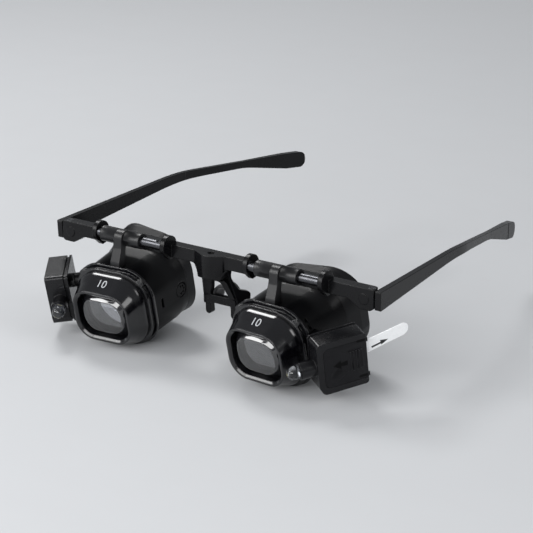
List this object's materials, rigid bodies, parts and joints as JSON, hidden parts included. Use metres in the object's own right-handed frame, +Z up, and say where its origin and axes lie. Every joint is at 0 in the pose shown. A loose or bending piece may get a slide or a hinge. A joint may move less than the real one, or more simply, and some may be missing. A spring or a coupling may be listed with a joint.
{
  "type": "headband magnifier",
  "caption": "Spectacle-type binocular magnifier: flip-up sliding loupes on a brow bar with folding temples, each loupe with a tilting battery lamp",
  "frame": {"origin": "centre of the round hole in the top face of the brow bar", "axes": "+Z up, +Y rearwards to the wearer's ears, +X to the wearer's left"},
  "size_m": [0.1466, 0.1535, 0.0432],
  "materials": {
    "frame_black": "satin moulded ABS",
    "soft_rubber": "soft matte thermoplastic rubber",
    "eyecup_black": "matte moulded polypropylene",
    "steel": "ground steel",
    "screw_steel": "bright plated",
    "hood_black": "glossy moulded ABS",
    "housing_black": "satin moulded ABS",
    "lens_glass": "polished",
    "lamp_black": "semi-gloss moulded ABS",
    "led_clear": "clear epoxy",
    "reflector": "metallised",
    "contact_brass": "sprung strip",
    "tab_white": "thin polyester strip"
  },
  "bodies": {
    "frame": {"brow_bar": "frame_black", "nose_saddle": "soft_rubber", "hinge_screw_left": "screw_steel", "hinge_screw_right": "screw_steel"},
    "temple_left": {"temple_arm_left": "frame_black", "temple_tip_left": "frame_black"},
    "rod_left": {"slide_rod_left": "steel"},
    "loupe_left": {"hanger_left": "frame_black", "lens_housing_left": "housing_black", "eyecup_left": "eyecup_black", "collar_ring_left": "hood_black", "lens_hood_left": "hood_black", "front_lens_left": "lens_glass", "eye_lens_left": "lens_glass", "lamp_arm_left": "housing_black", "pivot_pin_left": "steel"},
    "lamp_left": {"lamp_case_left": "lamp_black", "lamp_lid_left": "lamp_black", "led_left": "led_clear", "led_ring_left": "reflector", "button_cells_left": "steel", "contact_strips_left": "contact_brass"},
    "cover_left": {"battery_cover_left": "lamp_black"},
    "switch_left": {"switch_knob_left": "lamp_black"},
    "temple_right": {"temple_arm_right": "frame_black", "temple_tip_right": "frame_black"},
    "rod_right": {"slide_rod_right": "steel"},
    "loupe_right": {"hanger_right": "frame_black", "lens_housing_right": "housing_black", "eyecup_right": "eyecup_black", "collar_ring_right": "hood_black", "lens_hood_right": "hood_black", "front_lens_right": "lens_glass", "eye_lens_right": "lens_glass", "lamp_arm_right": "housing_black", "pivot_pin_right": "steel"},
    "lamp_right": {"lamp_case_right": "lamp_black", "lamp_lid_right": "lamp_black", "led_right": "led_clear", "led_ring_right": "reflector", "button_cells_right": "steel", "contact_strips_right": "contact_brass"},
    "cover_right": {"battery_cover_right": "lamp_black"},
    "switch_right": {"switch_knob_right": "lamp_black"},
    "tab": {"pull_tab": "tab_white"}
  },
  "joints": [
    {"name": "temple_fold_left", "type": "hinge", "parent": "frame", "child": "temple_left", "pos_m": [0.0658, 0.0014, -0.0038], "axis": [0, 0, 1], "range_deg": [0, 25]},
    {"name": "loupe_flip_left", "type": "hinge", "parent": "frame", "child": "rod_left", "pos_m": [0.0335, -0.003, -0.0003], "axis": [-1, 0, 0], "range_deg": [-5, 90]},
    {"name": "eye_distance_left", "type": "slide", "parent": "rod_left", "child": "loupe_left", "axis": [1, 0, 0], "range_m": [-0.0022, 0.0072]},
    {"name": "lamp_tilt_left", "type": "hinge", "parent": "loupe_left", "child": "lamp_left", "pos_m": [0.05286, -0.00725, -0.01991], "axis": [0.8308, -0.5413, -0.1291], "range_deg": [-25, 8]},
    {"name": "cover_slide_left", "type": "slide", "parent": "lamp_left", "child": "cover_left", "axis": [0.5559, 0.818, 0.1478], "range_m": [0, 0.014]},
    {"name": "switch_slide_left", "type": "slide", "parent": "lamp_left", "child": "switch_left", "axis": [0.5559, 0.818, 0.1478], "range_m": [0, 0.002]},
    {"name": "temple_fold_right", "type": "hinge", "parent": "frame", "child": "temple_right", "pos_m": [-0.0658, 0.0014, -0.0038], "axis": [0, 0, -1], "range_deg": [0, 25]},
    {"name": "loupe_flip_right", "type": "hinge", "parent": "frame", "child": "rod_right", "pos_m": [-0.0335, -0.003, -0.0003], "axis": [-1, 0, 0], "range_deg": [-5, 90]},
    {"name": "eye_distance_right", "type": "slide", "parent": "rod_right", "child": "loupe_right", "axis": [1, 0, 0], "range_m": [-0.0012, 0.0082]},
    {"name": "lamp_tilt_right", "type": "hinge", "parent": "loupe_right", "child": "lamp_right", "pos_m": [-0.05886, -0.00725, -0.01991], "axis": [0.8308, 0.5413, 0.1291], "range_deg": [-25, 8]},
    {"name": "cover_slide_right", "type": "slide", "parent": "lamp_right", "child": "cover_right", "axis": [-0.5559, 0.818, 0.1478], "range_m": [0, 0.014]},
    {"name": "switch_slide_right", "type": "slide", "parent": "lamp_right", "child": "switch_right", "axis": [-0.5559, 0.818, 0.1478], "range_m": [0, 0.002]},
    {"name": "tab_pull", "type": "slide", "parent": "lamp_left", "child": "tab", "axis": [0.5559, 0.818, 0.1478], "range_m": [0, 0.016]}
  ]
}
